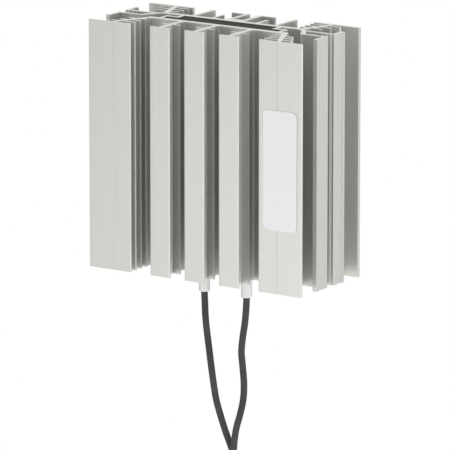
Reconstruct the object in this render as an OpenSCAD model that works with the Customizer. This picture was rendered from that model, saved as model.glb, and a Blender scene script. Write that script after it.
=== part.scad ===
// Enclosure heater: two aluminium extrusions snapped together round a flat
// heating core, two supply leads, and a spring clip for a 35 mm rail.
// Width runs along X, the front faces -Y, and Z is up along the extrusion.
// The origin is the middle of the clip's face that lies on the rail.

/* [Overall] */
// Width over the outer flanges
body_w = 100; // [96:1:120]
// Length of both extrusions from end to end
body_h = 100; // [80:1:160]
// Depth from the middle of the slot to the front faces
front_reach = 22.4; // [20:0.1:26]
// Depth from the middle of the slot to the rear faces
rear_reach = 21.1; // [20:0.1:26]

/* [Slot for the heating core] */
// Width of the slot between the rear legs
slot_w = 44; // [40:0.5:46]
// Thickness of the slot between the two walls
slot_t = 8.4; // [7.6:0.1:9.6]
// Thickness of the front wall
front_wall_t = 2.6; // [2:0.1:3.4]
// Thickness of the rear wall
rear_wall_t = 2.5; // [2:0.1:3.4]

/* [Snap joint] */
// Thickness of the rear legs beside the slot
leg_t = 1.6; // [1.2:0.1:2]
// Reach of each leg's outward foot, past the leg
foot_reach = 3.4; // [3:0.1:5]
// Thickness of the foot
foot_t = 1.3; // [1:0.1:1.6]
// Distance of the foot's front face in front of the slot's middle
foot_drop = 0.6; // [0.2:0.1:1]
// Thickness of the front hooks
hook_t = 1.5; // [1.2:0.1:1.9]
// Overlap of a hook's barb on the foot
barb_reach = 1.0; // [0.6:0.1:1.4]
// Thickness of the barb
barb_t = 0.6; // [0.5:0.1:1]
// Radius of the hook's outer corner
hook_r = 1.1; // [0.8:0.1:1.2]
// Clearance between hook and foot
snap_gap = 0.1; // [0.05:0.05:0.3]

/* [Front T fins] */
// Distance between neighbouring T fins
tee_pitch = 16.2; // [15:0.1:17]
// Width of a T fin's front face
tee_face_w = 9.4; // [8:0.1:10.5]
// Thickness of a T fin's stem under its ribs
tee_stem_t = 1.7; // [1.4:0.1:2.2]
// Width of the cross fin half way along the stem
cross_fin_w = 8.6; // [6:0.1:10]
// Thickness of the cross fin
cross_fin_t = 1.0; // [0.8:0.1:1.4]
// Depth of the cross fin's middle behind the front face
cross_fin_depth = 8.3; // [6:0.1:9]
// Radius of the fillet at the root of a stem
root_fillet = 1.5; // [0.8:0.1:2]

/* [Corner flanges] */
// Distance of the rear extrusion's sides in from the sides of the body
rear_inset = 0.5; // [0.1:0.1:1]
// Width of the two wide flanges at the front
front_flange_w = 20; // [18:0.1:20.5]
// Width of the two wide flanges at the rear
rear_flange_w = 21; // [19:0.1:21.5]
// Thickness of the flanges at the front
front_flange_t = 1.0; // [0.8:0.1:1.5]
// Thickness of the flanges at the rear
rear_flange_t = 1.6; // [1.2:0.1:2]
// Thickness of the slanted corner stems at their roots
corner_root_t = 2.6; // [2:0.1:3]
// Thickness of the corner stems at their flanges
corner_head_t = 1.7; // [1.3:0.1:2.2]
// Distance of the front stem roots in from the side of the body
front_root_inset = 19.3; // [17:0.1:19.5]
// Distance of the rear stem roots in from the side of the body
rear_root_inset = 18.5; // [17:0.1:19]
// Distance of the front stem heads in from the side of the body
front_head_inset = 11; // [10:0.1:12]
// Distance of the rear stem heads in from the side of the body
rear_head_inset = 13; // [12:0.1:14]
// Thickness of the side fins on the corner stems
side_fin_t = 1.0; // [0.8:0.1:1.3]
// Distance from the middle of a front flange to the first side fin
front_fin_first = 3.6; // [3:0.1:4]
// Distance from the middle of a rear flange to the first side fin
rear_fin_first = 3.1; // [2.8:0.1:3.4]
// Distance between neighbouring side fins
side_fin_pitch = 3.8; // [3.2:0.1:3.9]
// Setback of the inner fin ends from the inner edge of their flange
side_fin_setback = 0.1; // [0:0.1:0.8]
// Outward reach of the front side fins past the middle of the stem
front_fin_reach = 4.8; // [3:0.1:5.5]
// Outward reach of the middle rear side fin past the middle of the stem
rear_fin_reach = 6.1; // [5:0.1:7]
// Change of that reach from one rear fin to the next
rear_fin_step = 0.65; // [0:0.05:0.8]
// Width of the die line along the wide front flanges
die_line_w = 0.4; // [0.3:0.1:0.8]
// Depth of the die line
die_line_depth = 0.1; // [0.05:0.05:0.3]
// Distance of the die line in from the side of the body
die_line_inset = 11.5; // [9:0.1:14]

/* [Rear fins] */
// Distance of the tall fins from the middle
tall_fin_x = 19.3; // [17:0.1:20]
// Thickness of a tall fin
tall_fin_t = 1.1; // [0.9:0.1:1.5]
// Depth of the ribs on the tall fins and on the T fins' stems
fin_rib_depth = 0.45; // [0.1:0.05:0.5]
// Pitch of those ribs
fin_rib_pitch = 1.75; // [1.4:0.05:2]
// Distance of the short fins from the middle
short_fin_x = 10.4; // [9:0.1:12]
// Thickness of a short fin
short_fin_t = 1.4; // [1:0.1:1.8]
// Distance of the short fins' tips from the rear faces
short_fin_drop = 7; // [5:0.1:9]
// Reach of the two back plates from the middle
back_plate_reach = 10.1; // [9:0.1:12]
// Thickness of the back plates
back_plate_t = 1.3; // [1:0.1:1.8]

/* [Screw channels] */
// Width of the rear screw channel between its walls
rear_channel_w = 5; // [4.6:0.1:5.6]
// Depth of the rear screw channel
rear_channel_depth = 12; // [11:0.1:13]
// Thickness of the rear channel's two walls
rear_channel_wall = 1.7; // [1.3:0.1:2.1]
// Depth of the serrations in the channels
serration_depth = 0.45; // [0.2:0.05:0.5]
// Pitch of the serrations
serration_pitch = 2; // [1.6:0.1:2.4]
// Width of the side screw channels between their walls
side_channel_w = 5; // [4.4:0.1:5.4]
// Thickness of the side arms
arm_t = 1.4; // [1.1:0.1:1.8]
// Length of the serrations in a side channel
side_teeth_len = 8; // [6:0.5:9]
// Inner bend radius of the shoulders between the rear wall and the side arms
shoulder_r = 3.9; // [3.2:0.1:4.4]
// Thickness of a shoulder
shoulder_t = 2; // [1.6:0.1:2.4]
// Slant of a shoulder against the depth of the body
shoulder_slant = 29; // [20:1:34]
// Distance of the shoulder's bend in from the side of the body
shoulder_inset = 19.5; // [18.5:0.1:20]
// Thickness of the upright plates at the ends of the arms
side_plate_t = 1.4; // [1.1:0.1:1.8]
// Reach of the front side plates from the middle of the slot
front_plate_reach = 10.7; // [8.5:0.1:11]
// Reach of the rear side plates from the middle of the slot
rear_plate_reach = 9.5; // [8.5:0.1:10.5]
// Length of the bead at the far end of a side plate
bead_len = 1.2; // [0.8:0.1:2]
// Height of that bead on the plate
bead_rise = 0.5; // [0.3:0.1:1]

/* [Heating core] */
// Thickness of the insulating wrap
wrap_t = 0.4; // [0.2:0.05:0.6]
// Thickness of each electrode strip
electrode_t = 1.6; // [1:0.1:2]
// Clearance beside the core in the slot
core_gap = 0.2; // [0.1:0.05:0.4]
// Height of the sealing at each end
seal_h = 6; // [4:0.5:8]
// Depth of the sealing's face below the end of the extrusions
seal_recess = 0.5; // [0.2:0.1:1.5]
// Height left free for the terminals under the heating tablets
terminal_h = 14; // [13:0.5:18]
// Width of a heating tablet
tablet_w = 32; // [26:0.5:35]
// Height of the carrier's bars between the tablets
tablet_web = 4.2; // [3:0.1:6]
// Clearance round a tablet in its carrier
tablet_gap = 0.2; // [0.1:0.05:0.4]

/* [Leads] */
// Distance between the two leads where they leave the slot
lead_pitch = 20; // [16:0.5:24]
// Diameter of a lead
lead_d = 2.7; // [2.2:0.1:3]
// Outer diameter of the white sleeves
sleeve_d = 4.5; // [4:0.1:5]
// Length of a sleeve below the extrusions
sleeve_drop = 9.3; // [8:0.1:11]
// Clearance of a lead in its sleeve
sleeve_gap = 0.2; // [0.1:0.05:0.3]
// Length of a crimped barrel
crimp_len = 5; // [4:0.5:6]
// Outer diameter of a crimped barrel
crimp_d = 3.4; // [3.1:0.1:3.8]
// Width of a lug's tongue
tongue_w = 5; // [4:0.5:6]
// Thickness of a lug's tongue
tongue_t = 0.8; // [0.6:0.1:1]

/* [Hank of spare lead] */
// Length of the straight runs in the hank
hank_run = 43; // [41:1:54]
// Fold radius at the middle of the leads
hank_fold_r = 8.6; // [8.2:0.1:10]
// Distance between neighbouring leads in the hank
hank_layer = 2.85; // [2.8:0.05:3.2]
// Height of the strap round the hank
tie_h = 8; // [5:0.5:12]
// Thickness of the strap
tie_t = 0.9; // [0.6:0.1:1.4]
// Clearance of the strap on the hank
tie_gap = 0.1; // [0.05:0.05:0.3]
// Diameter of a ferrule's collar
collar_d = 3.6; // [3.2:0.1:4]
// Length of a ferrule's collar
collar_len = 6; // [4:0.5:8]
// Diameter of a ferrule's metal tube
ferrule_d = 1.6; // [1.2:0.1:2]
// Length of a ferrule's metal tube
ferrule_len = 8; // [6:0.5:12]

/* [Label] */
// Width of the label
label_w = 15.6; // [10:0.1:17]
// Height of the label
label_h = 47.5; // [30:0.5:60]
// Height of the label's middle above the middle of the body
label_z = -2.4; // [-8:0.1:8]
// Corner radius of the label
label_r = 2.3; // [1:0.1:4]
// Thickness of the label
label_t = 0.2; // [0.1:0.05:0.3]

/* [Rail clip] */
// Thickness of the clip's sheet
clip_t = 1.2; // [0.8:0.1:1.5]
// Width of the clip
clip_w = 18; // [14:0.5:20]
// Height of the rail
rail_h = 35; // [35:0.1:36]
// Thickness of the rail's edge
rail_t = 1.0; // [1:0.1:1.5]
// Clearance round the rail's edge
rail_gap = 0.4; // [0.2:0.1:0.6]
// Length of the fixed hook behind the rail
rail_hook_len = 3; // [2:0.5:4]
// Length of the clip below the rail, down to its spring bend
spring_drop = 6; // [5:0.5:8]
// Inner radius of the spring bend
spring_r = 2.2; // [1.8:0.1:2.6]
// Length of the spring arm
spring_arm = 4; // [3:0.5:5]
// Length of the flared ends of hook and latch
flare_len = 1.4; // [1:0.1:2]
// Length of the latch between its two bends
latch_len = 2.6; // [2:0.1:3.4]
// Inner radius of the small bends
fold_r = 1; // [0.8:0.1:1.2]
// Distance between the clip's two screws
screw_pitch = 14; // [11:0.5:16]
// Diameter of a screw's shank
screw_d = 3.5; // [3:0.1:3.6]
// Length of a screw under its head
screw_len = 9; // [7:0.5:11]
// Diameter of a screw's head
head_d = 7.4; // [6:0.1:8]
// Height of a screw's head
head_h = 2.4; // [1.8:0.1:3]
// Clearance of a screw in the clip
screw_gap = 0.5; // [0.2:0.1:0.8]

/* [Hidden] */
$fn = 64;
side_x = body_w/2;
slot_y = -(clip_t + rear_reach);
front_wall_y = -(slot_t/2 + front_wall_t);
flange_y = front_flange_t/2 - front_reach;
rear_wall_y = slot_t/2 + rear_wall_t;
rear_x = side_x - rear_inset;
front_root_x = side_x - front_root_inset;
rear_root_x = side_x - rear_root_inset;
hook_x = slot_w/2 + leg_t + foot_reach + snap_gap;
barb_y = foot_t - foot_drop + snap_gap;
plate_x = rear_x - bead_rise;
arm_y = side_channel_w/2 + arm_t;
bend_x = side_x - shoulder_inset;
bend_y = slot_t/2 - shoulder_r;
core_w = slot_w - 2*core_gap;
wrap_h = body_h - 2*(seal_recess + seal_h);
strip_w = core_w - 2*wrap_t;
strip_h = wrap_h - terminal_h;
strip_z = wrap_h/2 - strip_h/2;
electrode_y = slot_t/2 - wrap_t - electrode_t/2;
carrier_t = slot_t - 2*wrap_t - 2*electrode_t;
tablet_count = 4;
tablet_pitch = strip_h/tablet_count;
tablet_h = tablet_pitch - tablet_web;
body_end = -body_h/2;
// Gap over and under the lugs, height of a lug's neck, and margin of the tab it lies on
lug_gap = 1;
lug_neck = 1;
tab_margin = 0.5;
tab_h = terminal_h - crimp_len - 2*lug_gap;
barrel_z = -wrap_h/2 + lug_gap;
hank_half_w = hank_fold_r + lead_d/2;
hank_t = 3*hank_layer + lead_d;
hank_h = hank_run + 2*hank_half_w;
// Fine overlap of shapes that are joined, and overshoot of cuts
join = 0.2;
over = 1;
// The front wall reaches the stems, and the hooks where these stand further out
front_wall_half = max(front_root_x, hook_x + hook_t + join);
// Cross recess and upper face of a screw's head
recess_depth = 1.1;
recess_w = 1;
recess_len = 0.6*head_d;
head_top_d = head_d - 1.2;
// Largest turn of one facet in the clip's bends, and turns of the hook's lip and of the latch
bend_facet = 15;
lip_turn = 35;
latch_turn = 40;
latch_back_turn = -75;

// Place of the hank: its right-hand run, and its top under the extrusions
hank_x = 4.5;
hank_drop = 88;
hank_top = body_end - hank_drop;
// Routes of the two leads, measured from the middle of the slot and from the
// lower end of the extrusions, from the crimped barrel to the top of the hank
lead_x = lead_pitch/2;
lead_start = barrel_z - body_end;
sleeve_end = -sleeve_drop - sleeve_gap;
layer_y = hank_layer/2;
left_route = [
    [-lead_x, 0, lead_start], [-lead_x, 0, 1], [-lead_x, 0, -5], [-lead_x, 0, sleeve_end],
    [-9.8, 0, -14], [-9.5, 0, -20], [-8.8, 0, -26], [-7.9, 0, -32], [-6.9, 0, -39],
    [-5.8, 0, -46], [-4.6, 0.2, -53], [-2.8, 0.6, -59.5], [-0.4, 1, -66.5], [2.2, 1.3, -73],
    [3.8, layer_y, -78.5], [hank_x, layer_y, -84], [hank_x, layer_y, -hank_drop]];
right_route = [
    [lead_x, 0, lead_start], [lead_x, 0, 1], [lead_x, 0, -5], [lead_x, 0, sleeve_end],
    [9.8, 0, -14], [9.2, 0, -20], [8.2, 0, -26], [7.6, 0, -32], [8.2, 0, -38], [8.8, 0, -45],
    [8.5, 0, -51], [7.2, -0.3, -57.5], [5.8, -0.8, -63], [5, -1.2, -69], [4.7, -layer_y, -75],
    [hank_x, -layer_y, -82], [hank_x, -layer_y, -hank_drop]];

// Shared shapes

module both_sides() {
    children();
    mirror([1, 0, 0]) children();
}

module in_slot() {
    translate([0, slot_y, 0]) children();
}

module extruded(length = body_h) {
    linear_extrude(length, center = true) children();
}

module bar(x0, y0, x1, y1) {
    translate([min(x0, x1), min(y0, y1)]) square([abs(x1 - x0), abs(y1 - y0)]);
}

// A slanted strip between two points, with level ends and a thickness at each of them
module slant(a, b, a_t, b_t) {
    stretch = sqrt(1 + pow((b[0] - a[0])/(b[1] - a[1]), 2))/2;
    a_half = [a_t*stretch, 0];
    b_half = [b_t*stretch, 0];
    polygon(a[1] < b[1]
        ? [a - a_half, a + a_half, b + b_half, b - b_half]
        : [b - b_half, b + b_half, a + a_half, a - a_half]);
}

// A level strip with two round ends
module strip(x0, x1, y, t) {
    bar(x0 + t/2, y - t/2, x1 - t/2, y + t/2);
    for (x = [x0 + t/2, x1 - t/2]) translate([x, y]) circle(t/2);
}

module quarter_disc(r) {
    intersection() {
        circle(r);
        translate([-join, -join]) square(r + join);
    }
}

// A row of teeth along +X that rise towards +Y from a buried base, with a crest at both ends
module teeth_row(n, pitch, depth) {
    end = n*pitch;
    zigzag = [for (i = [n - 1 : -1 : 0]) each [[(i + 0.5)*pitch, 0], [i*pitch, depth]]];
    polygon(concat([[0, -join], [end, -join], [end, depth]], zigzag));
}

// Ribs on both sides of an upright fin about the Y axis, as many as fit between two depths
module fin_ribs(y0, y1, t) {
    n = max(1, floor((y1 - y0)/fin_rib_pitch));
    translate([t/2, (y0 + y1 + n*fin_rib_pitch)/2]) rotate(-90) teeth_row(n, fin_rib_pitch, fin_rib_depth);
    translate([-t/2, (y0 + y1 - n*fin_rib_pitch)/2]) rotate(90) teeth_row(n, fin_rib_pitch, fin_rib_depth);
}

module fillet(r) {
    difference() {
        translate([-join, -join]) square(r + join);
        translate([r, r]) circle(r);
    }
}

// A corner stem from its root to the middle of its flange, with three side fins that start at one line
module corner_stem(root, head, fin_x, first, reach, step) {
    way = sign(head[1] - root[1]);
    slant(root, head, corner_root_t, corner_head_t);
    for (k = [0 : 2]) {
        y = head[1] - way*(first + k*side_fin_pitch);
        stem_x = root[0] + (head[0] - root[0])*(y - root[1])/(head[1] - root[1]);
        strip(fin_x, stem_x + reach + (1 - k)*step, y, side_fin_t);
    }
}

// Front extrusion

module tee_fin() {
    cross_y = -front_reach + cross_fin_depth;
    bar(-tee_stem_t/2, front_wall_y + join, tee_stem_t/2, flange_y);
    strip(-tee_face_w/2, tee_face_w/2, flange_y, front_flange_t);
    strip(-cross_fin_w/2, cross_fin_w/2, cross_y, cross_fin_t);
    fin_ribs(flange_y + front_flange_t/2, cross_y - cross_fin_t/2, tee_stem_t);
    fin_ribs(cross_y + cross_fin_t/2, front_wall_y - root_fillet, tee_stem_t);
    translate([tee_stem_t/2, front_wall_y]) rotate(-90) fillet(root_fillet);
    translate([-tee_stem_t/2, front_wall_y]) rotate(180) fillet(root_fillet);
}

module snap_hook() {
    tip_x = hook_x - snap_gap - barb_reach;
    top = barb_y + barb_t;
    round_x = hook_x + hook_t - hook_r;
    bar(hook_x, -slot_t/2 - join, hook_x + hook_t, top - hook_r);
    bar(hook_x, top - hook_r - join, round_x, top);
    translate([round_x, top - hook_r]) quarter_disc(hook_r);
    polygon([[tip_x, barb_y], [hook_x + join, barb_y], [hook_x + join, top], [tip_x + barb_reach/2, top]]);
}

module die_line() {
    translate([side_x - die_line_inset, -front_reach]) polygon([
        [-die_line_w/2, -join], [die_line_w/2, -join], [die_line_w/2, 0],
        [0, die_line_depth], [-die_line_w/2, 0]]);
}

module front_middle() {
    bar(-front_wall_half, front_wall_y, front_wall_half, -slot_t/2);
    for (i = [-1 : 1]) translate([i*tee_pitch, 0]) tee_fin();
}

module front_side() {
    inner_x = side_x - front_flange_w;
    head = [side_x - front_head_inset, flange_y];
    difference() {
        strip(inner_x, side_x, flange_y, front_flange_t);
        die_line();
    }
    corner_stem([front_root_x, -slot_t/2], head, inner_x + side_fin_setback,
        front_fin_first, front_fin_reach, 0);
    snap_hook();
}

module front_profile() {
    color("#d3d4cf") in_slot() {
        extruded() front_middle();
        both_sides() extruded() front_side();
    }
}

// Rear extrusion

module ribbed_fin() {
    bar(-tall_fin_t/2, rear_wall_y - join, tall_fin_t/2, rear_reach);
    fin_ribs(rear_wall_y, rear_reach, tall_fin_t);
}

module rear_channel_side() {
    inner = rear_channel_w/2;
    outer = inner + rear_channel_wall;
    floor_y = rear_reach - rear_channel_depth;
    n = floor(rear_channel_depth/serration_pitch - 1);
    bar(inner, floor_y - join, outer, rear_reach);
    bar(inner, rear_reach - back_plate_t, back_plate_reach, rear_reach);
    translate([inner, rear_reach - n*serration_pitch]) rotate(90)
        teeth_row(n, serration_pitch, serration_depth);
}

// Middle of a shoulder's slanted wall at a depth
function shoulder_mid(y) = bend_x + (shoulder_r + shoulder_t/2)/cos(shoulder_slant)
    + (bend_y - y)*tan(shoulder_slant);

// A bend from the rear wall into a slanted wall, which ends at the outer side of the front arm
module shoulder() {
    outer = shoulder_r + shoulder_t;
    turn_y = bend_y + outer*sin(shoulder_slant) + join;
    translate([bend_x, bend_y]) difference() {
        intersection() {
            circle(outer);
            polygon([[-join, 0], [outer, outer*tan(shoulder_slant)], [outer, outer], [-join, outer]]);
        }
        circle(shoulder_r);
    }
    slant([shoulder_mid(turn_y), turn_y], [shoulder_mid(-arm_y), -arm_y], shoulder_t, shoulder_t);
}

module side_plate(way, reach) {
    bar(plate_x - side_plate_t, way*side_channel_w/2, plate_x, way*reach);
    bar(plate_x - side_plate_t, way*(reach - bead_len), rear_x, way*reach);
}

module side_channel() {
    inner = side_channel_w/2;
    n = floor(side_teeth_len/serration_pitch);
    for (way = [-1, 1]) bar(shoulder_mid(way*arm_y), way*inner, plate_x, way*arm_y);
    side_plate(-1, front_plate_reach);
    side_plate(1, rear_plate_reach);
    translate([plate_x, inner]) rotate(180) teeth_row(n, serration_pitch, serration_depth);
    translate([plate_x - n*serration_pitch, -inner]) teeth_row(n, serration_pitch, serration_depth);
}

module leg() {
    bar(slot_w/2, -foot_drop, slot_w/2 + leg_t, slot_t/2 + join);
    bar(slot_w/2, -foot_drop, hook_x - snap_gap, foot_t - foot_drop);
}

module rear_middle() {
    channel_outer = rear_channel_w/2 + rear_channel_wall;
    bar(-rear_root_x, slot_t/2, rear_root_x, rear_wall_y);
    bar(-channel_outer, rear_wall_y - join, channel_outer, rear_reach - rear_channel_depth);
}

module rear_side() {
    inner_x = rear_x - rear_flange_w;
    head = [side_x - rear_head_inset, rear_reach - rear_flange_t/2];
    rear_channel_side();
    translate([tall_fin_x, 0]) ribbed_fin();
    bar(short_fin_x - short_fin_t/2, rear_wall_y - join,
        short_fin_x + short_fin_t/2, rear_reach - short_fin_drop);
    bar(inner_x, rear_reach - rear_flange_t, rear_x, rear_reach);
    corner_stem([rear_root_x, slot_t/2 + join], head, inner_x + side_fin_setback,
        rear_fin_first, rear_fin_reach, rear_fin_step);
    leg();
    shoulder();
    side_channel();
}

module rear_profile() {
    color("#cfd0cb") in_slot() {
        extruded() rear_middle();
        both_sides() extruded() rear_side();
    }
}

// Heating core

module insulation_wrap() {
    color("#b98a3c") in_slot() extruded(wrap_h) difference() {
        square([core_w, slot_t], center = true);
        square([strip_w, slot_t - 2*wrap_t], center = true);
    }
}

// A contact strip with a tab down to its lug; way is -1 at the front and 1 at the rear
module electrode(way) {
    in_slot() translate([0, way*electrode_y, 0]) {
        translate([0, 0, strip_z]) cube([strip_w, electrode_t, strip_h], center = true);
        translate([way*lead_x, 0, strip_z - strip_h/2 - tab_h/2 + join/2])
            cube([tongue_w + 2*tab_margin, electrode_t, tab_h + join], center = true);
    }
}

module electrode_front() {
    color("#c9c9c4") electrode(-1);
}

module electrode_rear() {
    color("#c9c9c4") electrode(1);
}

function tablet_z(i) = strip_z - strip_h/2 + (i - 0.5)*tablet_pitch;

module tablet_carrier() {
    color("#e4ddcf") in_slot() difference() {
        translate([0, 0, strip_z]) cube([strip_w, carrier_t, strip_h], center = true);
        for (i = [1 : tablet_count]) translate([0, 0, tablet_z(i)])
            cube([tablet_w + 2*tablet_gap, carrier_t + over, tablet_h + 2*tablet_gap], center = true);
    }
}

module ptc_tablet(i) {
    color("#6b6660") in_slot() translate([0, 0, tablet_z(i)])
        cube([tablet_w, carrier_t, tablet_h], center = true);
}

module potting_top() {
    color("#2b2928") in_slot() translate([0, 0, body_h/2 - seal_recess - seal_h/2])
        cube([slot_w, slot_t, seal_h], center = true);
}

module potting_bottom() {
    color("#2b2928") in_slot() translate([0, 0, body_end + seal_recess + seal_h/2])
        difference() {
            cube([slot_w, slot_t, seal_h], center = true);
            both_sides() translate([lead_x, 0, 0])
                cylinder(d = sleeve_d + sleeve_gap, h = seal_h + over, center = true);
        }
}

// Lugs, sleeves and leads; way is -1 on the left and 1 on the right

module crimp(way) {
    tongue_y = electrode_y - electrode_t/2 - tongue_t/2;
    color("#c8b877") in_slot() translate([way*lead_x, 0, barrel_z]) {
        cylinder(d = crimp_d, h = crimp_len);
        translate([0, way*tongue_y, crimp_len + (tab_h - lug_neck)/2])
            cube([tongue_w, tongue_t, tab_h + lug_neck], center = true);
        translate([0, way*tongue_y/2, crimp_len - lug_neck/2])
            cube([tongue_w/2, tongue_y + tongue_t, lug_neck], center = true);
    }
}

module crimp_left() {
    crimp(-1);
}

module crimp_right() {
    crimp(1);
}

module sleeve(way) {
    top = barrel_z - sleeve_gap;
    low = body_end - sleeve_drop;
    color("#e9e9e6") in_slot() translate([way*lead_x, 0, low]) difference() {
        cylinder(d = sleeve_d, h = top - low);
        translate([0, 0, -over]) cylinder(d = lead_d + sleeve_gap, h = top - low + 2*over);
    }
}

module sleeve_left() {
    sleeve(-1);
}

module sleeve_right() {
    sleeve(1);
}

function unit(v) = v/norm(v);
function tangent(p, i) = unit(p[min(i + 1, len(p) - 1)] - p[max(i - 1, 0)]);

// A tube with eight sides along the points of a route
module tube_along(p, d) {
    sides = 8;
    n = len(p);
    rings = [for (i = [0 : n - 1])
        let (t = tangent(p, i), u = unit(cross([0, 1, 0], t)), v = cross(t, u))
        for (k = [0 : sides - 1]) p[i] + d/2*(cos(360*k/sides)*u + sin(360*k/sides)*v)];
    walls = [for (i = [0 : n - 2], k = [0 : sides - 1]) [
        i*sides + k, i*sides + (k + 1) % sides,
        (i + 1)*sides + (k + 1) % sides, (i + 1)*sides + k]];
    start = [for (k = [sides - 1 : -1 : 0]) k];
    end = [for (k = [0 : sides - 1]) (n - 1)*sides + k];
    polyhedron(rings, concat([start], walls, [end]));
}

module lead_left() {
    color("#3a3839") translate([0, slot_y, body_end]) tube_along(left_route, lead_d);
}

module lead_right() {
    color("#3a3839") translate([0, slot_y, body_end]) tube_along(right_route, lead_d);
}

// Outline of the folded leads: two round ends, and square corners where the leads
// come in at the top and go out at the bottom of the right-hand run
module hank_outline() {
    translate([-hank_half_w, -hank_run/2]) square([2*hank_half_w, hank_run]);
    for (z = [-hank_run/2, hank_run/2]) translate([0, z]) circle(hank_half_w);
    translate([hank_fold_r - lead_d/2, -hank_h/2]) square([lead_d, hank_h]);
}

module in_hank() {
    translate([hank_x - hank_fold_r, slot_y, hank_top - hank_h/2]) children();
}

module lead_hank() {
    color("#3a3839") in_hank() rotate([90, 0, 0]) extruded(hank_t) hank_outline();
}

module hank_tie() {
    inner_w = 2*(hank_half_w + tie_gap);
    inner_d = hank_t + 2*tie_gap;
    color("#2e2e30") in_hank() extruded(tie_h) difference() {
        square([inner_w + 2*tie_t, inner_d + 2*tie_t], center = true);
        square([inner_w, inner_d], center = true);
    }
}

// A collar and a metal tube on the end of a lead; way is -1 in front and 1 behind
module ferrule(way) {
    color("#b9b9b6") in_hank() translate([hank_fold_r, way*1.5*hank_layer, -hank_h/2]) {
        translate([0, 0, -collar_len]) cylinder(d = collar_d, h = collar_len);
        translate([0, 0, -collar_len - ferrule_len]) cylinder(d = ferrule_d, h = ferrule_len + join);
    }
}

module ferrule_left() {
    ferrule(1);
}

module ferrule_right() {
    ferrule(-1);
}

// Label

module blank_label() {
    color("#f1f1f2") translate([side_x - front_flange_w/2, slot_y - front_reach, label_z])
        rotate([90, 0, 0]) linear_extrude(label_t) {
            square([label_w, label_h - 2*label_r], center = true);
            square([label_w - 2*label_r, label_h], center = true);
            for (x = [-1, 1], z = [-1, 1])
                translate([x*(label_w/2 - label_r), z*(label_h/2 - label_r)]) circle(label_r);
        }
}

// Rail clip

// Middle line of a folded strip as points with their headings: each step is a
// straight length, then a bend of an angle and inner radius
function walk(steps, t, at, dir, i = 0) =
    i == len(steps) ? [] :
    let (
        angle = steps[i][1],
        rc = sign(angle)*(steps[i][2] + t/2),
        end = at + steps[i][0]*[cos(dir), sin(dir)],
        centre = end + rc*[-sin(dir), cos(dir)],
        facets = ceil(abs(angle)/bend_facet),
        turned = [for (k = [1 : 1 : facets])
            let (a = dir + angle*k/facets) [centre - rc*[-sin(a), cos(a)], a]],
        next = facets > 0 ? turned[facets - 1][0] : end)
    concat([[end, dir]], turned, walk(steps, t, next, dir + angle, i + 1));

// One side of such a line, at a distance to its left
function beside(line, off) = [for (p = line) p[0] + off*[-sin(p[1]), cos(p[1])]];
function backwards(v) = [for (i = [len(v) - 1 : -1 : 0]) v[i]];

// The clip's strip runs both ways from the middle of its base: up to the fixed
// hook over the rail's upper edge, and down to the spring bend and its latch
module clip_section() {
    edge = rail_h/2 + rail_gap;
    half = clip_t/2;
    hook = [[edge, -180, (rail_t + rail_gap)/2], [rail_hook_len, lip_turn, fold_r], [flare_len, 0, 0]];
    latch = [
        [edge + spring_drop, 180, spring_r], [spring_arm, latch_turn, fold_r],
        [latch_len, latch_back_turn, fold_r], [flare_len, 0, 0]];
    up = walk(hook, clip_t, [-half, 0], 90);
    down = walk(latch, clip_t, [-half, 0], -90);
    polygon(concat(
        beside(up, -half), backwards(beside(up, half)),
        beside(down, -half), backwards(beside(down, half))));
}

module at_screws() {
    for (z = [-1, 1]) translate([0, 0, z*screw_pitch/2]) rotate([90, 0, 0]) children();
}

module rail_clip() {
    color("#b4b5b6") difference() {
        rotate([90, 0, 90]) extruded(clip_w) clip_section();
        at_screws() cylinder(d = screw_d + screw_gap, h = 4*clip_t, center = true);
    }
}

module clip_screws() {
    color("#9fa1a3") at_screws() difference() {
        union() {
            cylinder(d = screw_d, h = screw_len);
            translate([0, 0, -head_h]) cylinder(d1 = head_top_d, d2 = head_d, h = head_h);
        }
        for (a = [0, 90]) rotate(a) translate([0, 0, -head_h])
            cube([recess_len, recess_w, 2*recess_depth], center = true);
    }
}

front_profile();
rear_profile();
insulation_wrap();
electrode_front();
electrode_rear();
tablet_carrier();
ptc_tablet(1);  // ptc_tablet_1
ptc_tablet(2);  // ptc_tablet_2
ptc_tablet(3);  // ptc_tablet_3
ptc_tablet(4);  // ptc_tablet_4
potting_top();
potting_bottom();
crimp_left();
crimp_right();
sleeve_left();
sleeve_right();
lead_left();
lead_right();
lead_hank();
hank_tie();
ferrule_left();
ferrule_right();
blank_label();
rail_clip();
clip_screws();
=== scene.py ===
"""Looks of an enclosure heater: two finned aluminium extrusions snapped round a flat heating core,
two supply leads that hang below it, and a spring clip for a mounting rail behind it.
Everything is in metres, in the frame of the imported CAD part: X to the right, -Y to the front, Z up."""
import math

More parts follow.
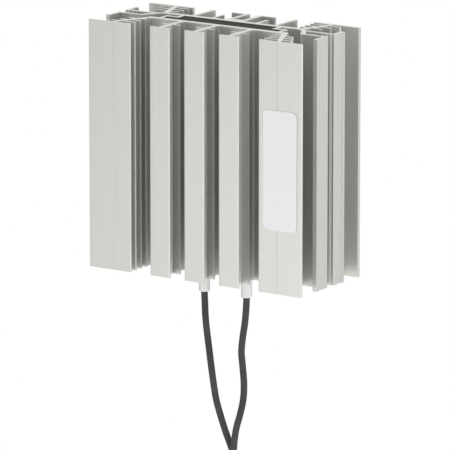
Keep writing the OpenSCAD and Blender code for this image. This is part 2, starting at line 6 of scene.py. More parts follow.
import bmesh
import bpy
import numpy as np
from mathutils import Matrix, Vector


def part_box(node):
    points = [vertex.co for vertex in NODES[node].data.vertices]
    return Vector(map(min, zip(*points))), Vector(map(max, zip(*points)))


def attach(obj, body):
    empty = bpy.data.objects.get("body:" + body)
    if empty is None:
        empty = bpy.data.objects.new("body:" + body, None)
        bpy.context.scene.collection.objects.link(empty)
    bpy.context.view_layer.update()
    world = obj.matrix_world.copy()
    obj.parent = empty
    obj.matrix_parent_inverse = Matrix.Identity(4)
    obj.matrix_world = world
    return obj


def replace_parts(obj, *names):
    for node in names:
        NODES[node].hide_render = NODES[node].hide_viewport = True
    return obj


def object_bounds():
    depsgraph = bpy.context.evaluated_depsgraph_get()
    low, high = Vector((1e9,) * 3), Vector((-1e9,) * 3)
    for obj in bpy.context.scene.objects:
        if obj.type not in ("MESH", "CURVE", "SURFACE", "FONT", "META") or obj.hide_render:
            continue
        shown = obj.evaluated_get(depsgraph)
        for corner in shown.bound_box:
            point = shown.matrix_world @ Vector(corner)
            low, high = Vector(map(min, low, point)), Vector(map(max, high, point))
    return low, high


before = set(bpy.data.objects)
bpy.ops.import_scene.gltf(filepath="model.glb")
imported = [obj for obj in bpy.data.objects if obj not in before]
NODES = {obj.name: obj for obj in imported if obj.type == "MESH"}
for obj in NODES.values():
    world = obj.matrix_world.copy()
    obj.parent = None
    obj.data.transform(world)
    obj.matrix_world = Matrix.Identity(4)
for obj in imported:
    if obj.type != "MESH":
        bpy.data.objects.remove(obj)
CAD_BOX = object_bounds()
MM = 0.001
BODY = "root"

# Camera: fitted to the straight edges of the extrusions
VIEW_AZIMUTH = math.radians(33.37)
VIEW_ELEVATION = math.radians(12.65)
VIEW_DISTANCE = 2.133
VIEW_LENS = 431.7
VIEW_TARGET = Vector((0.00072, -0.02373, -0.03092))

# Light: the level of the room, and for each lamp its name, place, target, size and watts
AMBIENT = 0.43
LAMP_AIM = (0, -0.02, 0)
LAMPS = [
    ("overhead_softbox", (0, 0.45, 1.43), LAMP_AIM, 0.6, 7.0),
    ("side_softbox", (1.5, -0.02, 0), LAMP_AIM, 0.6, 4.7),
    ("right_lamp", (1.222, -0.891, 0), LAMP_AIM, 0.15, 5.2),
    ("low_front_softbox", (-0.1, -0.55, -0.19), (0, -0.04, -0.03), 0.2, 0.86)]

# Floor: its drop below the part, its radius, and the radii between which it fades to white
FLOOR_DROP = 0.008
FLOOR_RADIUS = 1.2
FLOOR_FADE_START = 0.02
FLOOR_FADE_END = 0.16

# Places taken from the solids
SLOT_LOW, SLOT_HIGH = (np.array(c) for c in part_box("potting_top"))
SLOT_Y = (SLOT_LOW[1] + SLOT_HIGH[1])/2
BODY_END, BODY_TOP = (c.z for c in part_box("rear_profile"))

# Die lines in the front flanges, along which the metal's colour is darkened as painted shade in the groove
FRONT_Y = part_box("front_profile")[0].y
DIE_LINE_X = 38.5*MM
DIE_LINE_HALF = 0.18*MM
DIE_LINE_FADE = 0.06*MM
DIE_LINE_PAINTED_SHADE = 0.86

# Widths of the eased edges, and the turns in degrees from which an edge is eased or shaded sharp
DRAWN_EASE = 0.07*MM
FOLDED_EASE = 0.12*MM
EASED_FROM = 25
SHARP_FROM = 12
TUBE_SHARP_FROM = 50

# The sealing is flush with the end, and dark blocks of its material, put in the gaps under the hooks beside
# the slot, are painted shade
SEALING_TOP = BODY_TOP - 0.12*MM
HOOK_X = 26.9*MM
HOOK_GAP = 0.75*MM
BLOCK_GAP = 0.05*MM
SEALING_SINK = 0.2*MM
SEALING_CLIMB = 0.8*MM

# The label's corners, and its height above its solid's place, as in the photograph
LABEL_CORNER = 2.3*MM
LABEL_LIFT = 1.54*MM

# Leads, as in the part's source: thickness and length in metres, the rest in mm, with x and y from the
# middle of the slot and z from the lower end
LEAD_D = 2.7*MM
LEAD_LENGTH = 0.3
LEAD_X = 10.0
LAYER = 2.85
HANK_X = 4.5
HANK_DROP = 88.0
HANK_FOLD = 8.6
HANK_RUN = 43.0
LEAD_STEP = 0.8
LEAD_SIDES = 20
LEFT_ROUTE = [
    (-LEAD_X, 0, 7.5), (-LEAD_X, 0, 1), (-LEAD_X, 0, -5), (-LEAD_X, 0, -9.5), (-9.8, 0, -14),
    (-9.5, 0, -20), (-8.8, 0, -26), (-7.9, 0, -32), (-6.9, 0, -39), (-5.8, 0, -46), (-4.6, 0.2, -53),
    (-2.8, 0.6, -59.5), (-0.4, 1, -66.5), (2.2, 1.3, -73), (3.8, LAYER/2, -78.5),
    (HANK_X, LAYER/2, -84), (HANK_X, LAYER/2, -HANK_DROP)]
RIGHT_ROUTE = [
    (LEAD_X, 0, 7.5), (LEAD_X, 0, 1), (LEAD_X, 0, -5), (LEAD_X, 0, -9.5), (9.8, 0, -14), (9.2, 0, -20),
    (8.2, 0, -26), (7.6, 0, -32), (8.2, 0, -38), (8.8, 0, -45), (8.5, 0, -51), (7.2, -0.3, -57.5),
    (5.8, -0.8, -63), (5, -1.2, -69), (4.7, -LAYER/2, -75), (HANK_X, -LAYER/2, -82),
    (HANK_X, -LAYER/2, -HANK_DROP)]


# Meshes from arrays

def new_piece(name, mesh, material):
    """Links a mesh as a piece of the heater that rides on its one body."""
    piece = bpy.data.objects.new(name, mesh)
    bpy.context.scene.collection.objects.link(piece)
    mesh.materials.clear()
    mesh.materials.append(material)
    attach(piece, BODY)
    return piece


def grid_faces(rows, columns, wrap):
    """Index quads of a grid of points: cell (i, j) joins point (i, j) to its three neighbours,
    and the columns close on themselves where wrap is true."""
    i, j = np.meshgrid(np.arange(rows - 1), np.arange(columns if wrap else columns - 1), indexing="ij")
    k = (j + 1) % columns
    corners = [i*columns + j, i*columns + k, (i + 1)*columns + k, (i + 1)*columns + j]
    return np.stack(corners, -1).reshape(-1, 4)


def tube_mesh(name, points, uv=None):
    """A closed mesh from rings of points, an array of rings by sides by 3: quads between neighbouring
    rings, and one flat face on the first and the last ring. uv holds one pair for each point."""
    rings, sides = points.shape[:2]
    quads = grid_faces(rings, sides, True)
    start = np.arange(sides)[::-1]
    end = (rings - 1)*sides + np.arange(sides)
    faces = quads.tolist() + [start.tolist(), end.tolist()]
    mesh = bpy.data.meshes.new(name)
    mesh.from_pydata(points.reshape(-1, 3).tolist(), [], faces)
    if uv is not None:
        layer = mesh.uv_layers.new(name="along")
        index = np.empty(len(mesh.loops), np.int32)
        mesh.loops.foreach_get("vertex_index", index)
        layer.data.foreach_set("uv", uv.reshape(-1, 2)[index].ravel().astype(np.float32))
    shade(mesh, TUBE_SHARP_FROM)
    return mesh


def closed_mesh(name, points, faces, angle):
    """A mesh whose faces close on themselves, with doubled points merged and all faces turned outwards."""
    mesh = bpy.data.meshes.new(name)
    mesh.from_pydata(points.reshape(-1, 3).tolist(), [], faces)
    work = bmesh.new()
    work.from_mesh(mesh)
    bmesh.ops.remove_doubles(work, verts=work.verts, dist=1e-7)
    bmesh.ops.recalc_face_normals(work, faces=work.faces)
    work.to_mesh(mesh)
    work.free()
    shade(mesh, angle)
    return mesh


def shade(mesh, angle):
    """Smooth shading, apart from edges that turn by more than an angle in degrees."""
    mesh.shade_smooth()
    mesh.set_sharp_from_angle(angle=math.radians(angle))
    mesh.update()


def swept(path, section):
    """A section carried along a path: each point is the path's point plus the section's first coordinate
    times the side direction and its second times the direction square to both. The side direction is
    square to the path and to Y, because the leads run almost square to Y."""
    ahead = np.gradient(path, axis=0)
    ahead /= np.linalg.norm(ahead, axis=1, keepdims=True)
    side = np.cross([0.0, 1.0, 0.0], ahead)
    side /= np.linalg.norm(side, axis=1, keepdims=True)
    across = np.cross(ahead, side)
    return path[:, None] + section[None, :, :1]*side[:, None] + section[None, :, 1:]*across[:, None]


def circle(radius, sides):
    """Points of a circle: radius times the cosine and sine of evenly spaced angles."""
    a = np.arange(sides)*2*np.pi/sides
    return radius*np.stack([np.cos(a), np.sin(a)], -1)


def round_rectangle(wide, deep, corner, steps):
    """The outline of a rectangle with round corners, and the direction out of it at each point: four
    corner centres, each with a quarter circle that is the corner's radius times cosine and sine."""
    angle = np.concatenate([np.linspace(0, np.pi/2, steps) + k*np.pi/2 for k in range(4)])
    away = np.stack([np.cos(angle), np.sin(angle)], -1)
    centres = np.array([(wide, deep), (-wide, deep), (-wide, -deep), (wide, -deep)])
    return np.repeat(centres, steps, axis=0) + corner*away, away


def turned(profile, centre, sides=64):
    """A profile of radius and height turned round an upright axis: x = r cos a, y = r sin a, z = h."""
    ring = circle(1, sides)
    r, h = np.asarray(profile, float).T
    flat = r[:, None, None]*ring[None]
    height = np.broadcast_to(h[:, None, None], (len(h), sides, 1))
    return np.concatenate([flat, height], -1) + np.asarray(centre)


def rounded(x0, z0, r, start, end):
    """An arc of a profile about a point, from one angle to another in degrees."""
    a = np.radians(np.linspace(start, end, 7))
    return np.stack([x0 + r*np.cos(a), z0 + r*np.sin(a)], -1).tolist()


def smooth_line(points, step):
    """A smooth line through points: a cubic between each two, whose slopes are those of the parabola
    through three neighbours over chord length, then resampled so that points lie one step apart."""
    p = np.asarray(points, float)
    t = np.concatenate([[0], np.cumsum(np.linalg.norm(np.diff(p, axis=0), axis=1))])
    slope = np.gradient(p, t, axis=0)
    s = np.linspace(0, t[-1], 2000)
    i = np.clip(np.searchsorted(t, s, side="right") - 1, 0, len(t) - 2)
    h = (t[i + 1] - t[i])[:, None]
    x = (s - t[i])[:, None]/h
    line = ((1 + 2*x)*(1 - x)**2*p[i] + x*(1 - x)**2*h*slope[i]
            + x*x*(3 - 2*x)*p[i + 1] + x*x*(x - 1)*h*slope[i + 1])
    return evenly(line, step)


def evenly(line, step):
    """The same line with points one step apart along its length."""
    along = np.concatenate([[0], np.cumsum(np.linalg.norm(np.diff(line, axis=0), axis=1))])
    at = np.linspace(0, along[-1], max(2, int(round(along[-1]/step)) + 1))
    return np.stack([np.interp(at, along, line[:, k]) for k in range(3)], -1)


def eased_copy(node, name, material, width):
    """A copy of a solid with its loose triangles merged into plain faces and all sharp edges eased
    by a small bevel, as on a tumbled or drawn piece."""
    mesh = NODES[node].data.copy()
    mesh.name = name
    work = bmesh.new()
    work.from_mesh(mesh)
    bmesh.ops.remove_doubles(work, verts=work.verts, dist=1e-6)
    bmesh.ops.dissolve_limit(
        work, angle_limit=math.radians(0.5), verts=work.verts, edges=work.edges, delimit=set())
    work.to_mesh(mesh)
    work.free()
    shade(mesh, SHARP_FROM)
    piece = new_piece(name, mesh, material)
    ease = piece.modifiers.new("eased edges", "BEVEL")
    ease.width = width
    ease.segments = 2
    ease.limit_method = "ANGLE"
    ease.angle_limit = math.radians(EASED_FROM)
    ease.use_clamp_overlap = False
    even = piece.modifiers.new("flat faces", "WEIGHTED_NORMAL")
    even.keep_sharp = True
    even.weight = 100
    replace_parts(piece, node)


# Materials

ALUMINIUM = (0.62, 0.625, 0.588)
GRAIN_DEPTH = 0.00004


class Finish:
    """A material whose Principled shader is reached by short calls that add nodes."""

    def __init__(self, name, color, roughness, metallic=0.0, specular=0.5):
        self.material = bpy.data.materials.new(name)
        self.material.use_nodes = True
        self.tree = self.material.node_tree
        self.shader = self.tree.nodes["Principled BSDF"]
        self.color = color
        self.set("Base Color", (*color, 1.0))
        self.set("Roughness", roughness)
        self.set("Metallic", metallic)
        self.set("Specular IOR Level", specular)

    def set(self, socket, value):
        self.shader.inputs[socket].default_value = value

    def node(self, kind, **values):
        made = self.tree.nodes.new(kind)
        for key, value in values.items():
            setattr(made, key, value)
        return made

    def link(self, source, target):
        self.tree.links.new(source, target)

    def coords(self, scale, space="Object"):
        """Object or UV coordinates in metres, times a scale for each axis."""
        where = self.node("ShaderNodeTexCoord")
        mapping = self.node("ShaderNodeMapping")
        mapping.inputs["Scale"].default_value = scale
        self.link(where.outputs[space], mapping.inputs["Vector"])
        return mapping.outputs["Vector"]

    def noise(self, scale, detail=3.0, space="Object"):
        """Cloudy noise whose grain is one over the scale long on each axis."""
        made = self.node("ShaderNodeTexNoise")
        made.inputs["Scale"].default_value = 1.0
        made.inputs["Detail"].default_value = detail
        made.inputs["Roughness"].default_value = 0.55
        self.link(self.coords(scale, space), made.inputs["Vector"])
        return made.outputs["Fac"]

    def ramp(self, value, low, high, out_low=0.0, out_high=1.0):
        """A value carried from one range to another in a straight line, and held at the ends."""
        made = self.node("ShaderNodeMapRange")
        sockets = ("From Min", "From Max", "To Min", "To Max")
        for socket, number in zip(sockets, (low, high, out_low, out_high)):
            made.inputs[socket].default_value = number
        self.link(value, made.inputs["Value"])
        return made.outputs["Result"]

    def math(self, operation, a, b=0.0):
        made = self.node("ShaderNodeMath", operation=operation)
        for socket, value in zip(made.inputs, (a, b)):
            if isinstance(value, (int, float)):
                socket.default_value = value
            else:
                self.link(value, socket)
        return made.outputs[0]

    def part(self, vector, axis):
        """How far a vector reaches along an axis, without its sign."""
        split = self.node("ShaderNodeSeparateXYZ")
        self.link(vector, split.inputs[0])
        return self.math("ABSOLUTE", split.outputs[axis])

    def facing(self, axis):
        """How far a face looks along an axis, either way."""
        return self.part(self.node("ShaderNodeNewGeometry").outputs["True Normal"], axis)

    def mix(self, factor, a, b):
        """A colour between two colours or outputs, by a factor."""
        made = self.node("ShaderNodeMix", data_type="RGBA")
        self.link(factor, made.inputs["Factor"])
        for socket, value in zip((made.inputs[6], made.inputs[7]), (a, b)):
            if isinstance(value, tuple):
                socket.default_value = (*value, 1.0)
            else:
                self.link(value, socket)
        return made.outputs[2]

    def shaded(self, by):
        """The finish's own colour, made brighter or darker by a factor."""
        return tuple(min(1.0, c*by) for c in self.color)

    def into(self, socket, value):
        self.link(value, self.shader.inputs[socket])

    def bump(self, height, strength, distance):
        made = self.node("ShaderNodeBump")
        made.inputs["Strength"].default_value = strength
        made.inputs["Distance"].default_value = distance
        self.link(height, made.inputs["Height"])
        self.into("Normal", made.outputs["Normal"])


def drawn_aluminium(name, color):
    """Extruded aluminium: fine die lines along Z on the walls, painted shade down the die line groove of
    each front flange, and coarser saw lines on the two cut ends, chosen by how far a face looks up or down."""
    f = Finish(name, color, 0.44, metallic=0.35)
    fine = f.noise((2600, 2600, 5), detail=2.0)
    broad = f.noise((420, 420, 1.2), detail=2.0)
    lines = f.math("ADD", f.math("MULTIPLY", fine, 0.6), f.math("MULTIPLY", broad, 0.4))
    saw = f.noise((60, 1900, 1900), detail=2.0)
    cut = f.ramp(f.facing("Z"), 0.7, 0.9)
    wall_color = f.mix(f.ramp(lines, 0.3, 0.7), f.shaded(0.965), f.shaded(1.03))
    cut_color = f.mix(f.ramp(saw, 0.3, 0.7), f.shaded(1.12), f.shaded(1.26))
    # Painted shade: the metal's colour is darkened along the die line groove on each front flange, where
    # the groove lies in shade
    place = f.coords((1, 1, 1))
    off_line = f.math("ABSOLUTE", f.math("SUBTRACT", f.part(place, "X"), DIE_LINE_X))
    on_line = f.ramp(off_line, DIE_LINE_HALF, DIE_LINE_HALF + DIE_LINE_FADE, 1.0, 0.0)
    at_front = f.ramp(f.part(place, "Y"), -FRONT_Y - 0.3*MM, -FRONT_Y - 0.1*MM)
    groove = f.math("MULTIPLY", on_line, at_front)
    wall_color = f.mix(groove, wall_color, f.shaded(DIE_LINE_PAINTED_SHADE))
    f.into("Base Color", f.mix(cut, wall_color, cut_color))
    wall_rough = f.ramp(lines, 0.3, 0.7, 0.39, 0.49)
    f.into("Roughness", f.math("ADD", wall_rough, f.math("MULTIPLY", cut, 0.08)))
    saw_height = f.math("MULTIPLY", f.math("MULTIPLY", saw, cut), 1.2)
    f.bump(f.math("ADD", lines, saw_height), 0.12, 0.00008)
    return f.material


def silicone():
    """Smooth silicone insulation: dull charcoal with faint cloudy patches and a light grain along it."""
    f = Finish("charcoal_silicone", (0.062, 0.055, 0.059), 0.5, specular=0.2)
    cloud = f.noise((90, 90, 90))
    grain = f.noise((60, 900, 1), space="UV")
    f.into("Base Color", f.mix(f.ramp(cloud, 0.3, 0.7), f.shaded(0.8), f.shaded(1.2)))
    f.into("Roughness", f.ramp(grain, 0.3, 0.7, 0.44, 0.58))
    f.bump(f.math("ADD", cloud, grain), 0.15, 0.00005)
    return f.material


def cast_sealing():
    """Cast sealing mass: almost black, with a dull skin, small dimples and pale dust in the hollows."""
    f = Finish("dark_sealing", (0.024, 0.021, 0.020), 0.7, specular=0.1)
    cloud = f.noise((380, 380, 380), detail=4.0)
    f.into("Base Color", f.mix(f.ramp(cloud, 0.35, 0.75), f.shaded(0.75), f.shaded(1.5)))
    f.into("Roughness", f.ramp(cloud, 0.3, 0.7, 0.5, 0.72))
    f.bump(cloud, 0.4, 0.0003)
    return f.material


def plain_finish(name, color, roughness, metallic=0.0, grain=(900, 900, 900), spread=0.08):
    """A plain finish with a fine cloudy grain in its colour, its dullness and its surface."""
    f = Finish(name, color, roughness, metallic)
    cloud = f.noise(grain)
    f.into("Base Color", f.mix(f.ramp(cloud, 0.3, 0.7), f.shaded(1 - spread), f.shaded(1 + spread)))
    f.into("Roughness", f.ramp(cloud, 0.3, 0.7, roughness*0.88, min(1.0, roughness*1.12)))
    f.bump(cloud, 0.2, GRAIN_DEPTH)
    return f.material


def label_paper():
    """Smooth white label stock with a fine grain, and painted shade in dark grey on its cut edge, wherever
    a face looks sideways.
    """
    f = Finish("label_white", (0.90, 0.90, 0.92), 0.38)
    cloud = f.noise((2500, 2500, 2500))
    front = f.ramp(f.facing("Y"), 0.4, 0.8)
    paper = f.mix(f.ramp(cloud, 0.3, 0.7), f.shaded(0.98), f.shaded(1.02))
    # Painted shade: faces that look sideways, the label's edge, are dark grey in place of the shadow line
    # along it
    f.into("Base Color", f.mix(front, (0.25, 0.25, 0.25), paper))
    f.into("Roughness", f.ramp(cloud, 0.3, 0.7, 0.33, 0.43))
    f.bump(cloud, 0.2, GRAIN_DEPTH)
    return f.material


front_aluminium = drawn_aluminium("front_aluminium", ALUMINIUM)
rear_aluminium = drawn_aluminium("rear_aluminium", ALUMINIUM)
lead_silicone = silicone()
sealing = cast_sealing()
sleeve_white = plain_finish("sleeve_white", (0.80, 0.80, 0.79), 0.42, grain=(1200, 1200, 300), spread=0.03)
label_white = label_paper()
tie_black = plain_finish("tie_black", (0.035, 0.035, 0.038), 0.6, grain=(400, 400, 3000), spread=0.2)
collar_grey = plain_finish("collar_grey", (0.30, 0.31, 0.32), 0.4)
tinned_copper = plain_finish("tinned_copper", (0.70, 0.69, 0.66), 0.32, metallic=1.0)
zinc_clip = plain_finish(
    "zinc_clip", (0.62, 0.63, 0.65), 0.36, metallic=1.0, grain=(500, 160, 500), spread=0.07)
zinc_screw = plain_finish("zinc_screw", (0.58, 0.59, 0.61), 0.33, metallic=1.0)
contact_metal = plain_finish("contact_metal", (0.70, 0.70, 0.68), 0.4, metallic=1.0, grain=(1500, 1500, 60))
amber_film = plain_finish("amber_film", (0.55, 0.30, 0.07), 0.3)
carrier_plastic = plain_finish("carrier_plastic", (0.70, 0.64, 0.54), 0.55)
tablet_ceramic = plain_finish("tablet_ceramic", (0.19, 0.18, 0.17), 0.7, spread=0.15)
lug_brass = plain_finish("lug_brass", (0.72, 0.56, 0.26), 0.35, metallic=1.0)

for node_name, material in {
        "insulation_wrap": amber_film, "electrode_front": contact_metal, "electrode_rear": contact_metal,
        "tablet_carrier": carrier_plastic, "ptc_tablet_1": tablet_ceramic, "ptc_tablet_2": tablet_ceramic,
        "ptc_tablet_3": tablet_ceramic, "ptc_tablet_4": tablet_ceramic, "crimp_left": lug_brass,
        "crimp_right": lug_brass, "potting_bottom": sealing}.items():
    NODES[node_name].data.materials.clear()
    NODES[node_name].data.materials.append(material)


# Extrusions, clip and screws

eased_copy("front_profile", "front_extrusion", front_aluminium, DRAWN_EASE)
eased_copy("rear_profile", "rear_extrusion", rear_aluminium, DRAWN_EASE)
eased_copy("rail_clip", "spring_clip", zinc_clip, FOLDED_EASE)
eased_copy("clip_screws", "clip_screw_pair", zinc_screw, FOLDED_EASE)


# Label

def label(node):
    """A thin plate of its solid's size, set a little higher on the flange: a rectangle with round corners,
    carried from the flange to the front."""
    low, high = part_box(node)
    wide = (high.x - low.x)/2 - LABEL_CORNER
    tall = (high.z - low.z)/2 - LABEL_CORNER
    flat, _ = round_rectangle(wide, tall, LABEL_CORNER, 12)
    x = (low.x + high.x)/2 + flat[:, 0]
    z = (low.z + high.z)/2 + LABEL_LIFT + flat[:, 1]
    points = np.stack([np.stack([x, np.full_like(x, y), z], -1) for y in (high.y, low.y)])
    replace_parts(new_piece("bare_label", tube_mesh("bare_label", points), label_white), node)


label("blank_label")


# Sealing at the top of the slot, and painted shade under the hooks beside it

def sealing_and_shade_block(name, low, high, columns=161, rows=33):
    """A block whose upper face is a height over its plan: it climbs to the walls as a cast mass does, and
    sinks away from them by one minus an exponential of the distance to the nearest wall, with slow waves.
    The outermost ring of the grid drops to the block's floor, which closes the sides."""
    u = np.concatenate([[0.0], np.linspace(0, 1, columns), [1.0]])
    v = np.concatenate([[0.0], np.linspace(0, 1, rows), [1.0]])
    x = low[0] + (high[0] - low[0])*u
    y = low[1] + (high[1] - low[1])*v
    x, y = np.meshgrid(x, y, indexing="ij")
    wall = np.minimum(np.minimum(x - low[0], high[0] - x), np.minimum(y - low[1], high[1] - y))
    sink = SEALING_SINK*(1 - np.exp(-wall/SEALING_CLIMB))
    waves = 0.07*MM*np.sin(x*420 + 1.3)*np.cos(y*610 + 0.4) + 0.05*MM*np.sin(x*1130 + y*700)
    z = high[2] - sink + waves*np.minimum(1, wall/(1.2*MM))
    edge = np.zeros_like(z, bool)
    edge[[0, -1]] = True
    edge[:, [0, -1]] = True
    z = np.where(edge, low[2], z)
    points = np.stack([x, y, z], -1)
    n, m = z.shape
    quads = grid_faces(n, m, False).tolist()
    index = np.arange(n*m).reshape(n, m)
    rim = np.concatenate([index[:-1, 0], index[-1, :-1], index[:0:-1, -1], index[0, :0:-1]])
    mesh = closed_mesh(name, points, quads + [rim[::-1].tolist()], 40)
    return new_piece(name, mesh, sealing)


slot_top = np.array([*SLOT_HIGH[:2], SEALING_TOP])
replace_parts(sealing_and_shade_block("slot_sealing", SLOT_LOW, slot_top), "potting_top")
# Painted shade: dark blocks of the sealing material in the gaps under the hooks, where there is only shade
for side, way in (("left", -1), ("right", 1)):
    reach = np.sort([way*(SLOT_HIGH[0] + BLOCK_GAP), way*HOOK_X])
    sealing_and_shade_block("hook_painted_shade_" + side, np.array([reach[0], SLOT_LOW[1], SLOT_LOW[2]]),
                  np.array([reach[1], SLOT_Y - HOOK_GAP, SEALING_TOP]), 31, 17)


# Sleeves

def sleeve(node):
    """A turned tube with a rounded lower rim and a plain upper end, of the size of its solid."""
    low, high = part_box(node)
    outer = (high.x - low.x)/2
    inner = LEAD_D/2 + 0.1*MM
    rim = 0.35*MM
    lip = rounded(outer - rim, low.z + rim, rim, 0, -90)
    mouth = rounded(inner + rim, low.z + rim, rim, -90, -180)
    profile = [(inner, high.z), (outer, high.z)] + lip + mouth + [(inner, high.z)]
    points = turned(profile, ((low.x + high.x)/2, (low.y + high.y)/2, 0))
    rows, sides = points.shape[:2]
    mesh = closed_mesh(node + "_tube", points, grid_faces(rows, sides, True).tolist(), 40)
    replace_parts(new_piece(node + "_tube", mesh, sleeve_white), node)


sleeve("sleeve_left")
sleeve("sleeve_right")


# Leads

HANK_HALF = HANK_RUN/2 + HANK_FOLD + LEAD_D/MM/2
HANK_MIDDLE = np.array([HANK_X - HANK_FOLD, 0, -HANK_DROP - HANK_HALF])
FROM_SLOT = np.array([0, SLOT_Y, BODY_END])


def hank_line(way):
    """The folded part of a lead in mm about the hank's middle: down the right-hand run, round the lower
    fold, up the left-hand run, round the upper fold while it moves out by one layer, and down the
    right-hand run again."""
    half = HANK_RUN/2
    inner = way*LAYER/2
    outer = way*LAYER*1.5
    low_turn = np.linspace(0, -np.pi, 40)
    high_turn = np.linspace(np.pi, 0, 40)
    ease = np.clip((np.pi - high_turn)/(2*np.pi/3), 0, 1)
    ease = ease*ease*(3 - 2*ease)
    down = np.linspace(HANK_HALF, -half, 30)[1:]
    up = np.linspace(-half, half, 30)
    out = np.linspace(half, -HANK_HALF, 30)
    x = np.concatenate([
        np.full(len(down), HANK_FOLD), HANK_FOLD*np.cos(low_turn), np.full(len(up), -HANK_FOLD),
        HANK_FOLD*np.cos(high_turn), np.full(len(out), HANK_FOLD)])
    z = np.concatenate([
        down, -half + HANK_FOLD*np.sin(low_turn), up, half + HANK_FOLD*np.sin(high_turn), out])
    y = np.concatenate([
        np.full(len(down) + len(low_turn) + len(up), inner), inner + (outer - inner)*ease,
        np.full(len(out), outer)])
    return np.stack([x, y, z], -1)


def lead(name, route, way, nodes, ends):
    """A round lead along its free route and through the hank, with its length and girth as its UV."""
    free = smooth_line(route, LEAD_STEP)
    line = np.concatenate([free, hank_line(way) + HANK_MIDDLE])
    path = evenly(line, LEAD_STEP)*MM + FROM_SLOT
    points = swept(path, circle(LEAD_D/2, LEAD_SIDES))
    along = np.linspace(0, LEAD_LENGTH, len(path))
    girth = np.arange(LEAD_SIDES)/LEAD_SIDES*np.pi*LEAD_D
    uv = np.stack(np.meshgrid(girth, along), -1)
    piece = new_piece(name, tube_mesh(name, points, uv), lead_silicone)
    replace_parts(piece, *nodes)


def ferrule(node, side):
    """A wire end ferrule: a turned plastic collar with a rounded shoulder, and a turned tinned tube
    with three shallow crimped rings and a rounded tip."""
    low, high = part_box(node)
    cx, cy = (low.x + high.x)/2, (low.y + high.y)/2
    outer = (high.x - low.x)/2
    collar_low = high.z - 6*MM
    tube = 0.8*MM
    bore = 0.6*tube
    rim = 0.2*MM
    neck = 1.25*MM
    collar = [(bore, high.z), (outer - rim, high.z)]
    collar += rounded(outer - rim, high.z - rim, rim, 90, 0)
    collar += [(outer, collar_low + 2.2*MM), (neck, collar_low + 0.8*MM)]
    collar += rounded(neck - rim, collar_low + rim, rim, 0, -90) + [(bore, collar_low)]
    collar_mesh = tube_mesh("ferrule_collar_" + side, turned(collar[::-1], (cx, cy, 0)))
    collar_piece = new_piece("ferrule_collar_" + side, collar_mesh, collar_grey)
    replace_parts(collar_piece, node)
    h = np.linspace(low.z, collar_low + 0.4*MM, 80)
    rise = (h - low.z)/MM
    squeeze = 0.10*MM*sum(np.exp(-((rise - at)/0.5)**2) for at in (1.8, 3.8, 5.8))
    tip = 0.18*MM*np.exp(-rise/0.25)
    profile = np.stack([tube - squeeze - tip, h], -1)
    made = tube_mesh("ferrule_tube_" + side, turned(profile, (cx, cy, 0), 40))
    tube_piece = new_piece("ferrule_tube_" + side, made, tinned_copper)
    return [collar_piece, tube_piece]


lead("lead_cord_left", LEFT_ROUTE, 1, ["lead_left", "lead_hank"], ferrule("ferrule_left", "left"))
lead("lead_cord_right", RIGHT_ROUTE, -1, ["lead_right"], ferrule("ferrule_right", "right"))


def strap(node):
    """The strap round the hank: a rounded strip section carried round a rectangle with round corners,
    which is its solid's outline drawn in by half the strip's thickness."""
    low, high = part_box(node)
    thick = 0.9*MM
    corner = 2.2*MM
    cx, cy, cz = ((a + b)/2 for a, b in zip(low, high))
    wide = (high.x - low.x - thick)/2 - corner
    deep = (high.y - low.y - thick)/2 - corner
    loop, away = round_rectangle(wide, deep, corner, 10)
    half_h = (high.z - low.z)/2
    ease = 0.3*MM
    across = 9
    side = np.linspace(-1, 1, across)
    out = np.concatenate([np.full(across, thick/2), np.full(across, -thick/2)])
    rise = np.concatenate([side, side[::-1]])*half_h
    near_end = np.clip((np.abs(rise) - (half_h - ease))/ease, 0, 1)
    out = out*np.sqrt(np.clip(1 - 0.75*near_end**2, 0, 1))
    flat = loop[:, None] + out[None, :, None]*away[:, None]
    points = np.concatenate(
        [flat, np.broadcast_to(rise[None, :, None], (*flat.shape[:2], 1))], -1) + np.array([cx, cy, cz])
    n, m = points.shape[:2]
    i, j = np.meshgrid(np.arange(n), np.arange(m), indexing="ij")
    i2, j2 = (i + 1) % n, (j + 1) % m
    quads = np.stack([i*m + j, i2*m + j, i2*m + j2, i*m + j2], -1).reshape(-1, 4)
    mesh = closed_mesh("hank_strap", points, quads.tolist(), 45)
    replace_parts(new_piece("hank_strap", mesh, tie_black), node)


strap("hank_tie")


# Floor, light and camera

def background(tree, lit):
    """Adds a shader that is plain white to the camera and in reflections, and as given to other rays."""
    path = tree.nodes.new("ShaderNodeLightPath")
    seen = path.outputs["Is Camera Ray"]
    for ray in ("Is Glossy Ray", "Is Transmission Ray"):
        add = tree.nodes.new("ShaderNodeMath")
        add.operation = "MAXIMUM"
        tree.links.new(seen, add.inputs[0])
        tree.links.new(path.outputs[ray], add.inputs[1])
        seen = add.outputs[0]
    white = tree.nodes.new("ShaderNodeBackground")
    white.inputs["Strength"].default_value = 1.0
    white.inputs["Color"].default_value = (1, 1, 1, 1)
    mix = tree.nodes.new("ShaderNodeMixShader")
    tree.links.new(seen, mix.inputs[0])
    tree.links.new(lit.outputs[0], mix.inputs[1])
    tree.links.new(white.outputs[0], mix.inputs[2])
    return mix


def light_tent():
    """A white room round the object: even light from all sides, seen as plain white."""
    world = bpy.data.worlds.new("light_tent")
    bpy.context.scene.world = world
    world.use_nodes = True
    tree = world.node_tree
    even = tree.nodes["Background"]
    even.inputs["Color"].default_value = (1.0, 1.0, 1.0, 1.0)
    even.inputs["Strength"].default_value = AMBIENT
    tree.links.new(background(tree, even).outputs[0], tree.nodes["World Output"].inputs["Surface"])


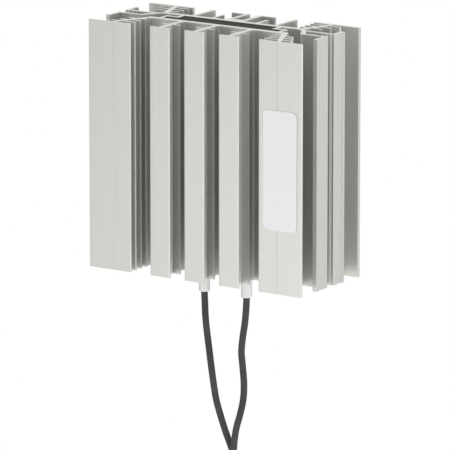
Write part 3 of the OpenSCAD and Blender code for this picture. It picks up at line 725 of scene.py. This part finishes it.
def floor():
    """A round pale floor under the leads, a grid of rings and spokes, that fades to plain white
    away from the middle."""
    rings, spokes = 40, 96
    r = FLOOR_RADIUS*np.linspace(0.001, 1, rings)**1.5
    a = np.arange(spokes)*2*np.pi/spokes
    middle = (CAD_BOX[0] + CAD_BOX[1])/2
    x = middle.x + r[:, None]*np.cos(a)
    y = middle.y + r[:, None]*np.sin(a)
    z = np.full_like(x, CAD_BOX[0].z - FLOOR_DROP)
    mesh = bpy.data.meshes.new("floor")
    faces = grid_faces(rings, spokes, True).tolist() + [list(range(spokes))]
    mesh.from_pydata(np.stack([x, y, z], -1).reshape(-1, 3).tolist(), [], faces)
    material = bpy.data.materials.new("pale_floor")
    material.use_nodes = True
    tree = material.node_tree
    tree.nodes.remove(tree.nodes["Principled BSDF"])
    matt = tree.nodes.new("ShaderNodeBsdfDiffuse")
    matt.inputs["Color"].default_value = (0.93, 0.93, 0.93, 1)
    white = tree.nodes.new("ShaderNodeEmission")
    white.inputs["Strength"].default_value = 1.0
    path = tree.nodes.new("ShaderNodeLightPath")
    where = tree.nodes.new("ShaderNodeTexCoord")
    shift = tree.nodes.new("ShaderNodeMapping")
    shift.inputs["Location"].default_value = (-middle.x, -middle.y, -z[0, 0])
    length = tree.nodes.new("ShaderNodeVectorMath")
    length.operation = "LENGTH"
    fade = tree.nodes.new("ShaderNodeMapRange")
    fade.inputs["From Min"].default_value = FLOOR_FADE_START
    fade.inputs["From Max"].default_value = FLOOR_FADE_END
    sharp = tree.nodes.new("ShaderNodeMath")
    sharp.operation = "MAXIMUM"
    seen = tree.nodes.new("ShaderNodeMath")
    seen.operation = "MULTIPLY"
    mix = tree.nodes.new("ShaderNodeMixShader")
    tree.links.new(where.outputs["Object"], shift.inputs["Vector"])
    tree.links.new(shift.outputs["Vector"], length.inputs[0])
    tree.links.new(length.outputs["Value"], fade.inputs["Value"])
    tree.links.new(path.outputs["Is Camera Ray"], sharp.inputs[0])
    tree.links.new(path.outputs["Is Glossy Ray"], sharp.inputs[1])
    tree.links.new(sharp.outputs[0], seen.inputs[0])
    tree.links.new(fade.outputs["Result"], seen.inputs[1])
    tree.links.new(seen.outputs[0], mix.inputs[0])
    tree.links.new(matt.outputs[0], mix.inputs[1])
    tree.links.new(white.outputs[0], mix.inputs[2])
    tree.links.new(mix.outputs[0], tree.nodes["Material Output"].inputs["Surface"])
    mesh.materials.append(material)
    piece = bpy.data.objects.new("floor", mesh)
    bpy.context.scene.collection.objects.link(piece)


def softbox(name, place, target, size, watts):
    """A square soft lamp that faces a target."""
    data = bpy.data.lights.new(name, "AREA")
    data.size = size
    data.energy = watts
    lamp = bpy.data.objects.new(name, data)
    lamp.location = place
    lamp.rotation_mode = "QUATERNION"
    lamp.rotation_quaternion = (Vector(target) - Vector(place)).to_track_quat("-Z", "Y")
    bpy.context.scene.collection.objects.link(lamp)


def camera():
    """A camera on a ball round its target: right of the front by the azimuth and above by the elevation."""
    back = Vector((math.sin(VIEW_AZIMUTH)*math.cos(VIEW_ELEVATION),
                   -math.cos(VIEW_AZIMUTH)*math.cos(VIEW_ELEVATION), math.sin(VIEW_ELEVATION)))
    data = bpy.data.cameras.new("camera")
    data.lens = VIEW_LENS
    data.sensor_width = 36.0
    made = bpy.data.objects.new("camera", data)
    made.location = VIEW_TARGET + back*VIEW_DISTANCE
    made.rotation_mode = "QUATERNION"
    made.rotation_quaternion = (-back).to_track_quat("-Z", "Y")
    bpy.context.scene.collection.objects.link(made)
    bpy.context.scene.camera = made


light_tent()
floor()
for lamp_values in LAMPS:
    softbox(*lamp_values)
camera()
bpy.context.scene.view_settings.view_transform = "Standard"
